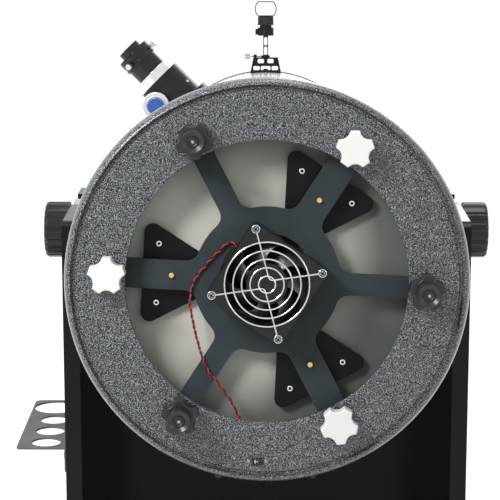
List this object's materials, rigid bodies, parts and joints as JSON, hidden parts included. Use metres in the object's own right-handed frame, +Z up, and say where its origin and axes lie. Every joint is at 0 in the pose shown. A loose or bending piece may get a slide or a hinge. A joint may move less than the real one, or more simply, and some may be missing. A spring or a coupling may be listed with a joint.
{
  "type": "dobsonian telescope",
  "caption": "Large white reflecting telescope tube that tilts on side bearings in a black wooden rocker box, which turns on a round ground board.",
  "frame": {"origin": "on the floor under the middle of the turning base, in the plane of the feet", "axes": "+Z up, +Y the way the tube points, +X to the right as seen from the tube's rear end; the altitude axis runs along X"},
  "size_m": [0.6331, 1.4898, 0.9022],
  "materials": {
    "laminate_board": "black satin laminate on board",
    "foot_rubber": "moulded",
    "zinc_steel": "zinc plated",
    "cage_nylon": "moulded nylon",
    "handle_plastic": "moulded",
    "bearing_steel": "turned and ground",
    "tray_sheet": "dark grey powder coat on steel sheet",
    "white_enamel": "glossy white enamel on steel",
    "hammertone": "black and silver hammered enamel on a casting",
    "bracket_aluminium": "machined",
    "knob_black": "moulded",
    "knob_white": "moulded",
    "cell_casting": "dark grey coated casting",
    "triangle_steel": "black coated sheet",
    "brass_screw": "turned",
    "pad_nylon": "moulded nylon",
    "mirror_glass": "ground glass, aluminised face",
    "spring_steel": "drawn wire",
    "fan_plastic": "glass filled, moulded",
    "guard_wire": "bright plated wire",
    "small_screws": "plated, cross recess",
    "lead_vinyl": "red and black vinyl",
    "secondary_glass": "aluminised",
    "black_anodised": "anodised",
    "drawtube_chrome": "polished",
    "knob_silver": "anodised, knurled",
    "knob_blue": "blue anodised",
    "finder_plastic": "moulded",
    "lens_glass": "coated glass"
  },
  "bodies": {
    "ground": {"ground_board": "laminate_board", "feet": "foot_rubber", "pivot_bolt": "zinc_steel", "lower_race": "zinc_steel"},
    "roller_set": {"roller_cage": "cage_nylon", "rollers": "zinc_steel"},
    "rocker": {"upper_race": "zinc_steel", "base_board": "laminate_board", "left_board": "laminate_board", "right_board": "laminate_board", "front_board": "laminate_board", "board_screws": "zinc_steel", "wood_screws": "small_screws", "handle": "handle_plastic", "tube_stop": "foot_rubber", "bearing_rings": "bearing_steel", "eyepiece_tray": "tray_sheet"},
    "optical_tube": {"tube": "white_enamel", "rear_ring": "hammertone", "front_ring": "hammertone", "tube_screws": "small_screws", "side_brackets": "bracket_aluminium", "cell_frame": "cell_casting", "support_triangles": "triangle_steel", "pivot_screws": "brass_screw", "mirror_pads": "pad_nylon", "primary_mirror": "mirror_glass", "mirror_clips": "triangle_steel", "collimation_springs": "spring_steel", "fan_frame": "fan_plastic", "fan_guard": "guard_wire", "fan_screws": "small_screws", "fan_lead": "lead_vinyl", "power_jack": "fan_plastic", "spider": "triangle_steel", "spider_screws": "small_screws", "secondary_holder": "black_anodised", "secondary_mirror": "secondary_glass", "focuser_body": "black_anodised", "finder_shoe": "finder_plastic", "finder_body": "finder_plastic", "finder_lens": "lens_glass"},
    "rotor": {"fan_rotor": "fan_plastic"},
    "left_tension": {"left_tension_knob": "knob_black"},
    "right_tension": {"right_tension_knob": "knob_black"},
    "collimation_1": {"collimation_knob_1": "knob_black"},
    "collimation_2": {"collimation_knob_2": "knob_black"},
    "collimation_3": {"collimation_knob_3": "knob_black"},
    "lock_1": {"lock_knob_1": "knob_white"},
    "lock_2": {"lock_knob_2": "knob_white"},
    "lock_3": {"lock_knob_3": "knob_white"},
    "draw": {"drawtube": "drawtube_chrome", "extension_tube": "black_anodised", "eyepiece_adapter": "black_anodised"},
    "clamp_screw_1": {"eyepiece_screw_1": "knob_silver"},
    "clamp_screw_2": {"eyepiece_screw_2": "knob_silver"},
    "coarse_focus": {"focus_knob": "knob_silver"},
    "fine_focus": {"fine_knob": "knob_blue"},
    "finder_turn": {"finder_dial": "finder_plastic"},
    "shoe_screw": {"shoe_thumbscrew": "knob_silver"}
  },
  "joints": [
    {"name": "azimuth", "type": "hinge", "parent": "ground", "child": "rocker", "pos_m": [0, 0, 0], "axis": [0, 0, 1], "continuous": true},
    {"name": "roller_roll", "type": "hinge", "parent": "ground", "child": "roller_set", "pos_m": [0, 0, 0], "axis": [0, 0, 1], "continuous": true},
    {"name": "altitude", "type": "hinge", "parent": "rocker", "child": "optical_tube", "pos_m": [0, 0, 0.66997], "axis": [1, 0, 0], "range_deg": [0, 95.5]},
    {"name": "left_tension_turn", "type": "hinge", "parent": "optical_tube", "child": "left_tension", "pos_m": [0, 0, 0.66997], "axis": [-1, 0, 0], "range_deg": [0, 360]},
    {"name": "right_tension_turn", "type": "hinge", "parent": "optical_tube", "child": "right_tension", "pos_m": [0, 0, 0.66997], "axis": [1, 0, 0], "range_deg": [0, 360]},
    {"name": "collimation_1_turn", "type": "hinge", "parent": "optical_tube", "child": "collimation_1", "pos_m": [-0.06515, -0.50734, 0.84727], "axis": [0, -0.9954, 0.0958], "range_deg": [-360, 360]},
    {"name": "lock_1_turn", "type": "hinge", "parent": "optical_tube", "child": "lock_1", "pos_m": [0.07816, -0.50806, 0.8398], "axis": [0, -0.9954, 0.0958], "range_deg": [0, 360]},
    {"name": "collimation_2_turn", "type": "hinge", "parent": "optical_tube", "child": "collimation_2", "pos_m": [-0.07816, -0.53113, 0.60021], "axis": [0, -0.9954, 0.0958], "range_deg": [-360, 360]},
    {"name": "lock_2_turn", "type": "hinge", "parent": "optical_tube", "child": "lock_2", "pos_m": [-0.1433, -0.51888, 0.72748], "axis": [0, -0.9954, 0.0958], "range_deg": [0, 360]},
    {"name": "collimation_3_turn", "type": "hinge", "parent": "optical_tube", "child": "collimation_3", "pos_m": [0.1433, -0.52032, 0.71252], "axis": [0, -0.9954, 0.0958], "range_deg": [-360, 360]},
    {"name": "lock_3_turn", "type": "hinge", "parent": "optical_tube", "child": "lock_3", "pos_m": [0.06515, -0.53185, 0.59273], "axis": [0, -0.9954, 0.0958], "range_deg": [0, 360]},
    {"name": "fan_spin", "type": "hinge", "parent": "optical_tube", "child": "rotor", "pos_m": [0, -0.51761, 0.71981], "axis": [0, -0.9954, 0.0958], "continuous": true},
    {"name": "focus", "type": "slide", "parent": "optical_tube", "child": "draw", "axis": [-0.7071, 0.0678, 0.7039], "range_m": [-0.01, 0.028]},
    {"name": "coarse_focus_turn", "type": "hinge", "parent": "optical_tube", "child": "coarse_focus", "pos_m": [-0.16875, 0.76362, 0.72321], "axis": [0, -0.9954, 0.0958], "range_deg": [-195, 540]},
    {"name": "fine_focus_turn", "type": "hinge", "parent": "optical_tube", "child": "fine_focus", "pos_m": [-0.16875, 0.76362, 0.72321], "axis": [0, -0.9954, 0.0958], "range_deg": [-1920, 5360]},
    {"name": "clamp_screw_1_turn", "type": "hinge", "parent": "draw", "child": "clamp_screw_1", "pos_m": [-0.19799, 0.7705, 0.79468], "axis": [-0.3536, -0.8959, -0.2689], "range_deg": [0, 360]},
    {"name": "clamp_screw_2_turn", "type": "hinge", "parent": "draw", "child": "clamp_screw_2", "pos_m": [-0.19799, 0.7705, 0.79468], "axis": [0.6645, -0.2768, 0.6942], "range_deg": [0, 360]},
    {"name": "finder_dial_turn", "type": "hinge", "parent": "optical_tube", "child": "finder_turn", "pos_m": [0, 0.72146, 0.85919], "axis": [0, 0.0958, 0.9954], "range_deg": [-150, 150]},
    {"name": "shoe_screw_turn", "type": "hinge", "parent": "optical_tube", "child": "shoe_screw", "pos_m": [0, 0.71612, 0.80375], "axis": [-1, 0, 0], "range_deg": [0, 360]}
  ],
  "couplings": [
    {"joint": "roller_roll", "follows": "azimuth", "ratio": 0.5},
    {"joint": "coarse_focus_turn", "follows": "focus", "rad_per_m": 333.33},
    {"joint": "fine_focus_turn", "follows": "focus", "rad_per_m": 3333.3}
  ]
}
